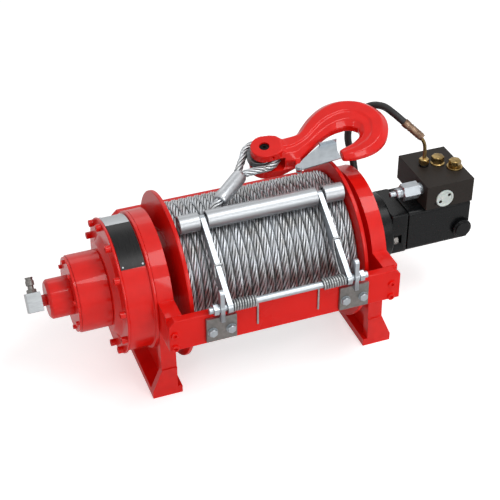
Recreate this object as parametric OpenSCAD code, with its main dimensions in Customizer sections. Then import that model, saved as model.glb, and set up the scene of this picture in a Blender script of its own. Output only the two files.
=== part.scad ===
// Hydraulic deck winch: grooveless drum between two cast end frames, planetary
// gearbox and air clutch on the left, disc brake, orbital motor and valve block
// on the right, with a sprung rope pressing roller and a clevis hook.
// Millimetres. +X runs along the drum from gearbox to motor, -Y is the rope
// side (front), +Z is up. The origin lies midway between the four foot bolts.

/* [Show] */
// Which sub-part to draw

/* [Drum and rope] */
// Height of the drum axis above the feet
axis_height = 235; // [232:1:245]
// Drum length between its flanges
drum_length = 420; // [401:19:458]
// Drum flange radius
drum_flange_radius = 200; // [195:1:206]
// Drum flange thickness
drum_flange_thickness = 10; // [8:1:12]
// Wire rope diameter
rope_diameter = 19; // [18:1:20]
// Radius of the bare drum barrel
barrel_radius = 110; // [106:1:111]
// Layers of rope wound on the drum
rope_layers = 3; // [2:1:3]
// Radius of the drum journals in the end frames
journal_radius = 60; // [50:1:70]
// Length of each journal outside the flange
journal_length = 52; // [46:1:56]

/* [End frames and tie bars] */
// Air between a drum flange and its end frame
frame_air = 26; // [22:1:30]
// Thickness of the end frame ring along the drum
frame_thickness = 37; // [32:1:42]
// Radius of the end frame ring
ring_radius = 165; // [155:1:172]
// Height of a tie bar
bar_height = 82; // [70:1:90]
// Thickness of a tie bar
bar_thickness = 20; // [16:1:24]
// Height of the tie bars' lower edge above the feet
bar_bottom = 198; // [190:1:205]
// Distance from the drum axis to a tie bar's outer face
bar_reach = 237; // [230:1:246]
// Distance from the drum axis to the front of a leg
leg_reach = 161; // [150:1:172]
// Width of a leg along the drum at its top
leg_width = 37; // [30:1:37]
// Width of a foot along the drum
foot_width = 73; // [64:1:80]
// How far a foot stands inside the ring's inner face
foot_inset = 11; // [8:1:14]
// Thickness of a foot
foot_thickness = 20; // [16:1:26]
// Thickness of the web between the legs
web_thickness = 16; // [12:1:22]
// Tapped hole radius in the feet
foot_hole_radius = 8.75; // [7:0.25:10]
// Depth of the tapped holes
foot_hole_depth = 36; // [28:1:45]
// How far the tapped holes stand in from a leg's front
foot_hole_inset = 21; // [18:1:30]
// Head radius of the tie bar screws
bar_screw_radius = 7; // [5:0.5:8]

/* [Gearbox and air clutch] */
// Radius of the ring gear housing
gear_radius = 158; // [150:1:162]
// Length of the ring gear housing
gear_length = 60; // [52:1:72]
// Radius of the gearbox cover flange
cover_radius = 163; // [160:1:170]
// Thickness of the gearbox cover flange
cover_thickness = 6; // [5:1:12]
// Bolt circle radius of the cover
cover_bolt_circle = 152; // [148:1:153]
// Number of cover bolts
cover_bolts = 12; // [8:1:16]
// Radius of the clutch housing
clutch_radius = 92; // [84:1:100]
// Length of the clutch housing
clutch_length = 87; // [70:1:100]
// Radius of the end cap
cap_radius = 47; // [40:1:55]
// Length of the end cap
cap_length = 61; // [48:1:72]
// Width and height of the air inlet block
air_block = 38; // [30:1:44]
// Length of the air inlet block
air_block_length = 43; // [34:1:52]

/* [Brake, motor and valve block] */
// Radius of the disc brake housing
brake_radius = 84; // [78:1:92]
// Length of the disc brake housing
brake_length = 60; // [50:1:70]
// Side of the square motor body
motor_side = 115; // [100:1:125]
// Length of the motor's flange section
motor_flange_length = 48; // [40:1:56]
// Length of the motor body
motor_length = 168; // [150:1:176]
// Radius of the motor's rounded end
motor_end_radius = 44; // [38:1:50]
// Length of the valve block along the drum
block_length = 128; // [110:1:136]
// Depth of the valve block, front to back
block_depth = 161; // [140:1:170]
// Height of the valve block
block_height = 66; // [56:1:74]
// Radius of the plug in the block's front face
plug_radius = 23; // [18:1:26]

/* [Pressing roller] */
// Roller tube radius
roller_radius = 21.5; // [18:0.5:24]
// Air between the roller's end and a drum flange
roller_end_gap = 9; // [6:1:12]
// Roller axle radius
axle_radius = 8; // [6:0.5:9]
// Distance of each arm from the drum's middle
arm_spread = 144; // [130:1:150]
// Arm thickness
arm_thickness = 12; // [8:1:13]
// Arm width
arm_width = 36; // [30:1:40]
// Pivot shaft radius
shaft_radius = 8; // [6:0.5:9]
// Outer radius of a torsion spring
spring_radius = 14; // [13:0.5:15]
// Wire radius of a torsion spring
spring_wire = 2.5; // [2:0.1:2.6]
// Coils in a torsion spring
spring_coils = 9; // [7:1:10]
// Bracket plate width
bracket_width = 72; // [60:1:80]
// Bracket plate height
bracket_height = 64; // [56:1:70]
// Bracket plate thickness
bracket_thickness = 8; // [6:1:10]

/* [Clevis hook] */
// Radius of the hook's load pin
pin_radius = 12.5; // [11:0.5:14]
// Outer radius of the clevis ears
ear_radius = 35; // [32:1:38]
// Half the thickness over both ears
ear_half = 36; // [34:1:38]
// Half the gap between the ears
throat_half = 16; // [15.5:0.5:17]
// Thickness of the latch plate
latch_plate = 3; // [2:0.5:3.5]

/* [Hidden] */
run_gap = 0.05;
wound_gap = 1;
frame_inner = drum_length / 2 + drum_flange_thickness + frame_air;
frame_outer = frame_inner + frame_thickness;
foot_inner = frame_inner - foot_inset;
foot_mid = foot_inner + foot_width / 2;
foot_hole_spacing = 2 * (leg_reach - foot_hole_inset);
bar_top = bar_bottom + bar_height;
shoulder_reach = bar_reach - bar_thickness;
wrap_radius = barrel_radius + rope_layers * rope_diameter;
rope_turns = floor(drum_length / rope_diameter);
wrap_pitch = drum_length / rope_turns;
gear_left = -frame_outer - 8 - gear_length;
cover_left = gear_left - cover_thickness;
clutch_left = cover_left - clutch_length;
cap_left = clutch_left - cap_length;
brake_right = frame_outer + brake_length;
motor_left = brake_right + motor_flange_length;
motor_right = motor_left + motor_length;
motor_z = axis_height + 5;
motor_top = motor_z + motor_side / 2;
block_left = motor_left + 41;
block_front = -66;
block_bottom = motor_top;
block_top = block_bottom + block_height;
// The pivot shaft lies on the bar, the roller rests on the rope
shaft_y = -bar_reach - spring_radius / 2;
shaft_z = bar_top + spring_radius + 0.5;
roller_length = drum_length - 2 * roller_end_gap;
roller_reach = wrap_radius + roller_radius + wound_gap;
roller_angle = 69;
roller_y = -roller_reach * cos(roller_angle);
roller_z = axis_height + roller_reach * sin(roller_angle);
ear_x = arm_spread + arm_thickness / 2 + 12;
ear_thickness = 10;
shaft_nut_x = ear_x + 22;
arm_half = (arm_width - 6) / 2;
// The hook lies on its side on a plane that tips forward and left
hook_at = [59.2, 66.6, axis_height + 225.1];
hook_turn = [15.9, -6.63, -1.89];
eye_centre = [-8.5, 4];
eye_radius = 40.5;
eye_rope = 9.5;
thimble_inner = norm(eye_centre) + pin_radius + 0.6;
tail_neck = [-72, -31];
tail_lift = wrap_radius + rope_diameter / 2 + 0.1;
tail_start = [-128, -30, axis_height + sqrt(tail_lift * tail_lift - 900)];
ferrule_low = [-86, -21, axis_height + 186];
ferrule_high = [-12, 40, axis_height + 203];
latch_at = [60, -71.5];
latch_level = 11;
// Lean of the air inlet block about the drum axis
air_lean = -37;

red = [0.86, 0.07, 0.06];
steel = [0.7, 0.7, 0.7];
black = [0.08, 0.08, 0.09];
block_colour = [0.2, 0.17, 0.16];
brassy = [0.68, 0.55, 0.3];
silver = [0.78, 0.79, 0.8];

// Helpers

module along_x(x) {
    translate([x, 0, axis_height])
        rotate([0, 90, 0])
            children();
}

module both_ends() {
    children();
    mirror([1, 0, 0])
        children();
}

module front_and_rear() {
    children();
    mirror([0, 1, 0])
        children();
}

module hex_prism(across, height) {
    cylinder(h = height, r = across / sqrt(3), $fn = 6);
}

module in_hook_frame() {
    translate(hook_at)
        rotate(hook_turn)
            children();
}

// A straight flat link with round ends between two points of a plane
module link(p, q, width) {
    run = norm(q - p);
    translate(p)
        rotate(atan2(q[1] - p[1], q[0] - p[0]))
            union() {
                translate([0, -width / 2])
                    square([run, width]);
                circle(r = width / 2, $fn = 48);
                translate([run, 0])
                    circle(r = width / 2, $fn = 48);
            }
}

function unit(v) = v / norm(v);
function blend(a, b, t) = a + (b - a) * t;
// A cubic curve through four route points, from the second to the third
function curve(a, b, c, d, t) =
    0.5 * ((2 * b) + (c - a) * t + (2 * a - 5 * b + 4 * c - d) * t * t
    + (3 * b - a - 3 * c + d) * t * t * t);
function last(list) = list[len(list) - 1];
function pick(list, i) = list[max(0, min(len(list) - 1, i))];
function smooth_route(points, steps) = concat(
    [for (i = [0 : len(points) - 2]) for (s = [0 : steps - 1])
        curve(pick(points, i - 1), points[i], points[i + 1], pick(points, i + 2), s / steps)],
    [last(points)]);
function travel(route, i) = unit(pick(route, i + 1) - pick(route, i - 1));

// The part of a direction that stands square to the travel
function flatten(u, t) = unit(u - (u * t) * t);

// A round rod along a route, ring by ring; up is any direction off the route
module rod(route, radius, sides, up) {
    sides_at = [for (i = 0, u = unit(cross(up, travel(route, 0))); i < len(route);
        i = i + 1, u = i < len(route) ? flatten(u, travel(route, i)) : u) u];
    rings = [for (i = [0 : len(route) - 1])
        let (u = sides_at[i], v = cross(travel(route, i), u))
            [for (k = [0 : sides - 1])
                route[i] + radius * (cos(k * 360 / sides) * u + sin(k * 360 / sides) * v)]];
    skin(rings, sides);
}

// Joins equal rings of points into a closed solid
module skin(rings, sides) {
    points = [for (ring = rings) for (p = ring) p];
    ends = len(rings) - 1;
    walls = [for (i = [0 : ends - 1]) for (k = [0 : sides - 1])
        let (a = i * sides + k, b = i * sides + (k + 1) % sides)
            each [[a, b, b + sides], [a, b + sides, a + sides]]];
    first_cap = [for (k = [1 : sides - 2]) [0, k + 1, k]];
    last_cap = [for (k = [1 : sides - 2]) [ends * sides, ends * sides + k, ends * sides + k + 1]];
    polyhedron(points = points, faces = [for (f = concat(walls, first_cap, last_cap)) [f[0], f[2], f[1]]]);
}

// End frames

module frame_outline() {
    difference() {
        union() {
            circle(r = ring_radius, $fn = 96);
            translate([-shoulder_reach, bar_bottom - axis_height])
                square([2 * shoulder_reach, bar_height]);
            polygon([
                [-leg_reach, -axis_height], [leg_reach, -axis_height],
                [leg_reach - 8, bar_bottom - axis_height], [-leg_reach + 8, bar_bottom - axis_height]
            ]);
        }
        circle(r = journal_radius + run_gap, $fn = 96);
    }
}

// The recess between the legs, outside the web
module leg_recess() {
    difference() {
        polygon([
            [-leg_reach + 24, foot_thickness - axis_height],
            [leg_reach - 24, foot_thickness - axis_height],
            [leg_reach - 30, bar_bottom - axis_height - 6],
            [-leg_reach + 30, bar_bottom - axis_height - 6]
        ]);
        circle(r = ring_radius, $fn = 96);
    }
}

module end_frame() {
    web_side = (frame_thickness - web_thickness) / 2;
    difference() {
        union() {
            translate([frame_inner, 0, axis_height])
                rotate([90, 0, 90])
                    linear_extrude(frame_thickness)
                        frame_outline();
            translate([foot_inner, -leg_reach, 0])
                cube([foot_width, 2 * leg_reach, foot_thickness]);
            // flares at the foot of each leg
            front_and_rear()
                translate([0, -leg_reach, 0])
                    rotate([-90, 0, 0])
                        linear_extrude(18)
                            polygon([
                                [foot_inner + 12, -foot_thickness], [foot_inner + foot_width, -foot_thickness],
                                [frame_outer, -foot_thickness - 60], [frame_inner, -foot_thickness - 60]
                            ]);
        }
        translate([frame_outer - web_side, 0, axis_height])
            rotate([90, 0, 90])
                linear_extrude(web_side + 1)
                    leg_recess();
        translate([frame_inner - 1, 0, axis_height])
            rotate([90, 0, 90])
                linear_extrude(web_side + 1)
                    leg_recess();
        for (y = [-foot_hole_spacing / 2, foot_hole_spacing / 2])
            translate([foot_mid, y, -1])
                cylinder(h = foot_hole_depth + 1, r = foot_hole_radius, $fn = 48);
    }
}

module left_end_frame() {
    color(red)
        mirror([1, 0, 0])
            end_frame();
}

module right_end_frame() {
    color(red)
        end_frame();
}

// Tie bars and their screws

module tie_bar() {
    translate([0, -bar_reach + bar_thickness, bar_bottom])
        rotate([90, 0, 0])
            linear_extrude(bar_thickness)
                polygon([
                    [-frame_outer, 0], [frame_outer, 0],
                    [frame_outer, bar_height - 14], [frame_outer - 14, bar_height],
                    [-frame_outer + 14, bar_height], [-frame_outer, bar_height - 14]
                ]);
}

module front_tie_bar() {
    color(red)
        tie_bar();
}

module rear_tie_bar() {
    color(red)
        mirror([0, 1, 0])
            tie_bar();
}

module tie_bar_screws() {
    color(steel)
        front_and_rear()
            both_ends()
                for (z = [bar_bottom + 9.5, bar_bottom + 41])
                    translate([frame_inner + 0.65 * frame_thickness, -bar_reach, z])
                        rotate([90, 0, 0])
                            difference() {
                                cylinder(h = 4, r = bar_screw_radius, $fn = 32);
                                translate([0, 0, 1])
                                    hex_prism(7, 4);
                            }
}

// Gearbox and clutch

module ring_gear_housing() {
    color(red)
        along_x(gear_left)
            union() {
                cylinder(h = gear_length, r = gear_radius, $fn = 96);
                translate([0, 0, gear_length])
                    cylinder(h = 8, r = ring_radius, $fn = 96);
            }
}

module gearbox_cover() {
    color(red)
        along_x(cover_left)
            union() {
                cylinder(h = cover_thickness, r = cover_radius, $fn = 96);
                translate([0, 0, -14])
                    cylinder(h = 14, r1 = clutch_radius + 12, r2 = clutch_radius + 30, $fn = 96);
            }
}

module gearbox_cover_bolts() {
    color(red)
        along_x(cover_left)
            for (k = [0 : cover_bolts - 1])
                rotate(170 + k * 360 / cover_bolts)
                    translate([cover_bolt_circle, 0, -13])
                        difference() {
                            cylinder(h = 13, r = 8.5, $fn = 32);
                            translate([0, 0, -1])
                                hex_prism(10, 8);
                        }
}

module clutch_housing() {
    color(red)
        along_x(clutch_left)
            union() {
                cylinder(h = clutch_length - 14, r = clutch_radius, $fn = 96);
            }
}

module clutch_cover() {
    color(red)
        along_x(clutch_left - 6)
            union() {
                cylinder(h = 6, r = clutch_radius - 3, $fn = 96);
                for (k = [0 : 7])
                    rotate((k + 0.5) * 45)
                        translate([clutch_radius - 13, 0, -6])
                            cylinder(h = 6, r = 5, $fn = 24);
            }
}

module end_cap() {
    color(red)
        along_x(cap_left)
            union() {
                translate([0, 0, 6])
                    cylinder(h = cap_length - 12, r = cap_radius, $fn = 96);
                cylinder(h = 6, r1 = cap_radius - 6, r2 = cap_radius, $fn = 96);
            }
}

module air_inlet_block() {
    color(silver)
        along_x(cap_left - air_block_length - 12)
            rotate(air_lean)
                union() {
                    translate([-air_block / 2, -air_block / 2, 0])
                        cube([air_block, air_block, air_block_length]);
                    translate([0, 0, air_block_length])
                        hex_prism(24, 12);
                }
}

module air_nipple() {
    color(steel)
        translate([cap_left - air_block_length / 2 - 12, 0, axis_height])
            rotate([air_lean, 0, 0])
                translate([0, 0, air_block / 2])
                    union() {
                        hex_prism(22, 12);
                        translate([0, 0, 12])
                            cylinder(h = 10, r = 7, $fn = 32);
                        translate([0, 0, 22])
                            cylinder(h = 20, r = 10, $fn = 32);
                    }
}

module rating_plate() {
    color(silver)
        along_x(gear_left + 2)
            rotate(145)
                rotate_extrude(angle = 77.5, $fn = 96)
                    translate([gear_radius, 0])
                        square([1.5, gear_length - 4]);
}

// Brake, motor and valve block

module brake_housing() {
    color(black)
        along_x(frame_outer)
            union() {
                cylinder(h = brake_length, r = brake_radius, $fn = 96);
            }
}

module motor_flange() {
    color(black)
        translate([brake_right, -motor_side / 2 - 4, motor_z - motor_side / 2])
            cube([motor_flange_length, motor_side + 8, motor_side]);
}

module motor_body() {
    color(black)
        union() {
            translate([motor_left, 0, motor_z])
                rotate([90, 0, 90])
                    linear_extrude(motor_length)
                        union() {
                            square([motor_side - 15, motor_side], center = true);
                            square([motor_side + 9, motor_side - 24], center = true);
                            for (a = [0, 1], b = [0, 1])
                                mirror([a, 0]) mirror([0, b])
                                    translate([motor_side / 2 - 7.5, motor_side / 2 - 12])
                                        circle(r = 12, $fn = 32);
                        }
            translate([motor_right, 0, motor_z])
                rotate([0, 90, 0])
                    cylinder(h = 8, r = motor_end_radius, $fn = 96);
        }
}

module motor_boss_cap() {
    color(black)
        translate([motor_right - 21, -motor_side / 2 - 4.5, motor_z - 19])
            rotate([90, 0, 0])
                union() {
                    cylinder(h = 10, r = 25, $fn = 64);
                    translate([0, 0, 10])
                        cylinder(h = 5, r = 20, $fn = 64);
                }
}

module valve_block() {
    color(block_colour)
        translate([block_left, block_front, block_bottom])
            cube([block_length, block_depth, block_height]);
}

module relief_cartridge() {
    color(silver)
        translate([block_left, block_front + 35, block_bottom + 44])
            rotate([0, -90, 0])
                union() {
                    cylinder(h = 9, r = 15, $fn = 48);
                    translate([0, 0, 9])
                        hex_prism(38, 43);
                    translate([0, 0, 52])
                        cylinder(h = 16, r = 13, $fn = 48);
                    translate([0, 0, 68])
                        cylinder(h = 16, r = 7, $fn = 32);
                }
}

module block_plug() {
    color([0.85, 0.88, 0.85])
        translate([block_left + 49.6, block_front, block_bottom + 26])
            rotate([90, 0, 0])
                cylinder(h = 3, r = plug_radius, $fn = 64);
}

module port_fittings() {
    color(brassy)
        for (f = [[hose_start[0], hose_start[1], 12, 20], [block_left + 76, block_front + 95, 15, 24],
                [block_left + 106, block_front + 63.5, 17, 22]])
            translate([f[0], f[1], block_top])
                union() {
                    cylinder(h = 4, r = f[2], $fn = 48);
                    translate([0, 0, 4])
                        hex_prism(f[3], 14);
                }
}

// Brake release hose from the block over the ring to its rear port

hose_start = [block_left + 38.7, block_front + 98.4, block_top];
sleeve_low = [block_left + 23, block_front + 96, block_top + 86.5];
sleeve_high = [block_left - 10, block_front + 126, block_top + 117.5];
sleeve_way = unit(sleeve_high - sleeve_low);
port_angle = 45;
port_x = frame_outer + brake_length / 2;
port_way = [0, cos(port_angle), sin(port_angle)];
port_foot = [port_x, 0, axis_height] + brake_radius * port_way;
port_tip = port_foot + 34 * port_way;
hose_route = concat(
    [sleeve_high + 0.5 * sleeve_way],
    smooth_route([
        sleeve_high + 8 * sleeve_way, [404, 86, block_top + 133], [392, 118, block_top + 137],
        [374, 150, block_top + 126], [348, 166, block_top + 103], [324, 160, block_top + 76],
        [312, 142, block_top + 46], [port_x, 112, block_top + 8], port_tip + 9 * port_way
    ], 3),
    [port_tip + 0.3 * port_way]);

module brake_hose() {
    color(black)
        rod(hose_route, 9, 10, [1, 0, 0]);
}

// Bent tube with nut and crimped sleeve at the block, radial fitting at the brake
module hose_fittings() {
    tube = smooth_route([hose_start + [0, 0, 18.2], hose_start + [-0.5, 0, 44], hose_start + [-5, -1, 66],
        sleeve_low + 4 * sleeve_way], 4);
    color(brassy)
        union() {
            rod(tube, 4.5, 10, [1, 0, 0]);
            rod([sleeve_low, sleeve_high], 11, 20, [1, 0, 0]);
            translate(port_foot)
                rotate([port_angle - 90, 0, 0])
                    cylinder(h = 34, r = 10, $fn = 32);
        }
}

// Pressing roller on its arms

module bracket_plate() {
    translate([-bracket_width / 2, -bar_reach - bracket_thickness, bar_top - 10 - bracket_height])
        cube([bracket_width, bracket_thickness, bracket_height]);
}

module bracket_ear() {
    difference() {
        translate([-ear_thickness / 2, 0, 0])
            rotate([90, 0, 90])
                linear_extrude(ear_thickness)
                    union() {
                        link([shaft_y - 6, bar_top - 44], [shaft_y, shaft_z + 40], 18);
                        link([shaft_y, shaft_z], [shaft_y, shaft_z + 2], 26);
                    }
        translate([-ear_thickness, shaft_y, shaft_z])
            rotate([0, 90, 0])
                cylinder(h = 2 * ear_thickness, r = shaft_radius, $fn = 48);
        translate([-ear_thickness, -bar_reach - bracket_thickness, bar_bottom])
            cube([2 * ear_thickness, bracket_thickness + bar_thickness, bar_height - 10]);
        translate([-ear_thickness, -bar_reach, bar_bottom])
            cube([2 * ear_thickness, bar_thickness, bar_height]);
    }
}

module roller_brackets() {
    color(steel)
        both_ends()
            translate([ear_x, 0, 0])
                union() {
                    bracket_plate();
                    bracket_ear();
                }
}

module bracket_bolts() {
    color(steel)
        both_ends()
            for (x = [-22, 22])
                translate([ear_x + x, -bar_reach - bracket_thickness, bar_top - 46])
                    rotate([90, 0, 0])
                        hex_prism(18, 8);
}

module pivot_shaft() {
    color(steel)
        translate([0, shaft_y, shaft_z])
            rotate([0, 90, 0])
                union() {
                    translate([0, 0, -shaft_nut_x - 16])
                        cylinder(h = 2 * shaft_nut_x + 32, r = shaft_radius, $fn = 48);
                    for (x = [-shaft_nut_x - 12, shaft_nut_x])
                        translate([0, 0, x])
                            hex_prism(24, 12);
                    for (x = [-shaft_nut_x, ear_x + ear_thickness / 2])
                        translate([0, 0, x])
                            cylinder(h = shaft_nut_x - ear_x - ear_thickness / 2, r = 11, $fn = 48);
                }
}

module spring_legs() {
    color(steel)
        both_ends()
            translate([spring_inner - spring_wire - 0.4, -bar_reach - spring_wire, bar_top + 4.5])
                rotate([180, 0, 0])
                    cylinder(h = 62, r = spring_wire, $fn = 16);
}

spring_inner = arm_spread - 67;
arm_run = norm([roller_y - shaft_y, roller_z - shaft_z]);
arm_slope = atan2(roller_z - shaft_z, roller_y - shaft_y);

module roller_arms() {
    color(steel)
        both_ends()
            translate([arm_spread - arm_thickness / 2, 0, 0])
                rotate([90, 0, 90])
                    linear_extrude(arm_thickness)
                        difference() {
                            translate([shaft_y, shaft_z])
                                rotate(arm_slope)
                                    union() {
                                        circle(r = arm_half, $fn = 64);
                                        translate([arm_run, 0])
                                            circle(r = 13, $fn = 64);
                                        polygon([
                                            [0, arm_half], [0, -arm_half], [18, -17], [50, -25], [96, -28],
                                            [arm_run, -13], [arm_run, 13], [170, 14], [120, arm_half]
                                        ]);
                                    }
                            // room for the rope below the belly of the arm
                            translate([0, axis_height])
                                circle(r = wrap_radius + 5.4, $fn = 128);
                            translate([shaft_y, shaft_z])
                                circle(r = shaft_radius + run_gap, $fn = 48);
                            translate([roller_y, roller_z])
                                circle(r = axle_radius + run_gap, $fn = 48);
                        }
}

// Coil on the shaft, then a leg along the arm that hooks over its front edge
module torsion_springs() {
    mean = spring_radius - spring_wire;
    per_turn = 10;
    outer = arm_spread - arm_thickness / 2 - spring_wire - 0.3;
    pitch = (outer - spring_inner - spring_wire) / spring_coils;
    rise = [cos(arm_slope), sin(arm_slope)];
    front = [-rise[1], rise[0]];
    edge = arm_half + spring_wire + 0.2;
    hook_out = 2 * (arm_spread - outer);
    start = atan2(rise[1], rise[0]) - 90;
    coil = [for (k = [0 : spring_coils * per_turn])
        [spring_inner + spring_wire + k * pitch / per_turn,
         shaft_y + mean * cos(start + k * 360 / per_turn), shaft_z + mean * sin(start + k * 360 / per_turn)]];
    leg = [for (a = [[0, -mean, 14], [0, -mean, 40], [0, 0, 74], [0, 8, 86], [0, edge - 4, 93], [2, edge - 0.5, 95],
            [hook_out / 2, edge, 96], [hook_out - 2, edge - 0.5, 95], [hook_out, edge - 4, 93],
            [hook_out, 8, 84], [hook_out, 2, 72]])
        [outer + a[0], shaft_y + front[0] * a[1] + rise[0] * a[2], shaft_z + front[1] * a[1] + rise[1] * a[2]]];
    color(steel)
        both_ends()
            rod(concat(coil, leg), spring_wire, 6, [1, 0, 0.02]);
}

module roller_tubes() {
    inner = arm_spread - arm_thickness / 2 - 3;
    outer = arm_spread + arm_thickness / 2 + 3;
    color(steel)
        translate([0, roller_y, roller_z])
            rotate([0, 90, 0])
                difference() {
                    union() {
                        translate([0, 0, -inner])
                            cylinder(h = 2 * inner, r = roller_radius, $fn = 64);
                        for (x = [outer, -roller_length / 2])
                            translate([0, 0, x])
                                cylinder(h = roller_length / 2 - outer, r = roller_radius, $fn = 64);
                    }
                    translate([0, 0, -roller_length])
                        cylinder(h = 2 * roller_length, r = axle_radius, $fn = 48);
                }
}

module roller_axle() {
    color(steel)
        translate([-roller_length / 2, roller_y, roller_z])
            rotate([0, 90, 0])
                cylinder(h = roller_length, r = axle_radius, $fn = 48);
}

// Drum and rope

module drum_barrel() {
    half = drum_length / 2 + drum_flange_thickness;
    color(red)
        along_x(-half - journal_length)
            union() {
                cylinder(h = 2 * (half + journal_length), r = journal_radius, $fn = 96);
                translate([0, 0, journal_length])
                    cylinder(h = 2 * half, r = barrel_radius, $fn = 96);
            }
}

module drum_flanges() {
    color(red)
        for (x = [-drum_length / 2 - drum_flange_thickness, drum_length / 2])
            along_x(x)
                difference() {
                    cylinder(h = drum_flange_thickness, r = drum_flange_radius, $fn = 128);
                    translate([0, 0, -1])
                        cylinder(h = drum_flange_thickness + 2, r = barrel_radius, $fn = 96);
                }
}

module rope_winding() {
    color(steel)
        along_x(-drum_length / 2)
            rotate_extrude($fn = 96)
                union() {
                    translate([barrel_radius, 0.5])
                        square([wrap_radius - barrel_radius - rope_diameter * 0.32, drum_length - 1]);
                    for (k = [0 : rope_turns - 1])
                        translate([wrap_radius - rope_diameter / 2, (k + 0.5) * wrap_pitch])
                            circle(r = rope_diameter / 2, $fn = 12);
                }
}

// The rope's free end: it leaves the winding, enters the pressed ferrule and
// goes round the thimble

module rope_tail() {
    pull = unit(ferrule_high - ferrule_low);
    color(steel)
        rod(concat(smooth_route([tail_start, blend(tail_start, ferrule_low, 0.5) + [0, -2, -3],
            ferrule_low - 14 * pull], 4), [ferrule_low - 7 * pull, ferrule_low - 0.3 * pull]),
            rope_diameter / 2 - 0.2, 12, [0, 0, 1]);
}

module rope_ferrule() {
    run = ferrule_high - ferrule_low;
    color(silver)
        translate(ferrule_low)
            rotate([0, acos(run[2] / norm(run)), atan2(run[1], run[0])])
                cylinder(h = norm(run), r = 18, $fn = 48);
}

module rope_eye() {
    neck = tail_neck - eye_centre;
    heading = atan2(neck[1], neck[0]);
    side = acos(eye_radius / norm(neck)) - 6;
    sweep = 360 - 2 * side;
    steps = 24;
    into = [0.757, 0.653, 0];
    foot = [tail_neck[0], tail_neck[1], -4] + 2.6 * into;
    bend = [tail_neck[0], tail_neck[1], -2] + 9 * into;
    across = (eye_rope + 0.2) * [-into[1], into[0], 0];
    route = concat(
        [foot + across, bend + 1.05 * across],
        [for (k = [0 : steps])
            [eye_centre[0] + eye_radius * cos(heading - side - sweep * k / steps),
             eye_centre[1] + eye_radius * sin(heading - side - sweep * k / steps), 0]],
        [bend - 1.05 * across, foot - across]);
    color(steel)
        in_hook_frame()
            rod(route, eye_rope, 12, [0, 0, 1]);
}

// A grooved ring that keeps the rope eye open
module thimble() {
    groove = eye_radius - eye_rope - 0.3;
    lip = eye_rope + 2;
    color(silver)
        in_hook_frame()
            translate([eye_centre[0], eye_centre[1], 0])
                rotate_extrude($fn = 72)
                    polygon([
                        [thimble_inner, -lip], [groove + 7, -lip], [groove + 7, -lip + 2], [groove, -lip + 6],
                        [groove, lip - 6], [groove + 7, lip - 2], [groove + 7, lip], [thimble_inner, lip]
                    ]);
}

// Clevis hook: centreline stations of the forging with the section's half
// width in the hook's plane and across it
hook_stations = [
    [52, -3, 34, 34], [72, -3, 33, 28], [92, 3, 30, 24], [114, 14, 30, 24], [140, 29, 33, 25],
    [170, 45, 36, 26], [202, 54, 38, 27], [234, 50, 38, 27], [260, 33, 37, 26],
    [274, 6, 35, 25], [270, -24, 31, 22], [250, -48, 26, 19], [224, -61, 21, 16],
    [198, -66, 17, 14], [180, -66, 13, 12], [174, -65, 8, 8]
];

function section_ring(i, sides) =
    let (s = hook_stations[i],
         a = pick(hook_stations, i - 1), b = pick(hook_stations, i + 1),
         t = unit([b[0] - a[0], b[1] - a[1]]), side = [-t[1], t[0]])
        [for (k = [0 : sides - 1])
            let (w = s[2] * cos(k * 360 / sides), h = s[3] * sin(k * 360 / sides))
                [s[0] + side[0] * w, s[1] + side[1] * w, h]];

module hook_forging() {
    color(red)
        in_hook_frame()
            difference() {
                union() {
                    skin([for (i = [0 : len(hook_stations) - 1]) section_ring(i, 20)], 20);
                    // clevis ears
                    translate([0, 0, -ear_half])
                        linear_extrude(2 * ear_half)
                            union() {
                                circle(r = ear_radius, $fn = 64);
                                polygon([
                                    [0, -ear_radius], [30, -33], [52, -28], [74, -22],
                                    [74, 22], [52, 28], [30, 33], [0, ear_radius]
                                ]);
                            }
                    // boss for the latch pin
                    translate([0, 0, 2])
                        linear_extrude(latch_level - 3)
                            link([latch_at[0] + 14, latch_at[1] + 48], latch_at, 14);
                }
                translate([0, 0, -throat_half])
                    linear_extrude(2 * throat_half)
                        circle(r = 54, $fn = 96);
                translate([0, 0, -ear_half - 1])
                    cylinder(h = 2 * ear_half + 2, r = pin_radius, $fn = 48);
                translate([latch_at[0], latch_at[1], 1])
                    cylinder(h = latch_level, r = 4 - run_gap, $fn = 32);
            }
}

module hook_pin() {
    color(steel)
        in_hook_frame()
            translate([0, 0, -ear_half + 4])
                cylinder(h = 2 * ear_half - 8, r = pin_radius, $fn = 48);
}

module hook_latch() {
    color(silver)
        in_hook_frame()
            translate([latch_at[0], latch_at[1], 0])
                difference() {
                    union() {
                        translate([0, 0, latch_level])
                            linear_extrude(latch_plate)
                                union() {
                                    circle(r = 9, $fn = 32);
                                    polygon([
                                        [0, -9], [103, -9], [103, 15], [112, 44], [68, 45], [20, 21], [4, 9]
                                    ]);
                                }
                        // the folded lip that stiffens the inner edge
                        translate([0, 0, latch_level])
                            linear_extrude(13)
                                polygon([[69, 42], [111, 41], [112, 44], [68, 45]]);
                    }
                    translate([0, 0, latch_level - 1])
                        cylinder(h = latch_plate + 2, r = 4, $fn = 32);
                }
}

module latch_pin() {
    color(steel)
        in_hook_frame()
            translate([latch_at[0], latch_at[1], 0])
                union() {
                    translate([0, 0, -1])
                        cylinder(h = latch_level + latch_plate + 3, r = 4 - run_gap, $fn = 32);
                    for (h = [-2, latch_level + latch_plate + 0.3])
                        translate([0, 0, h])
                            cylinder(h = 4, r = 7, $fn = 32);
                }
}

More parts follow.
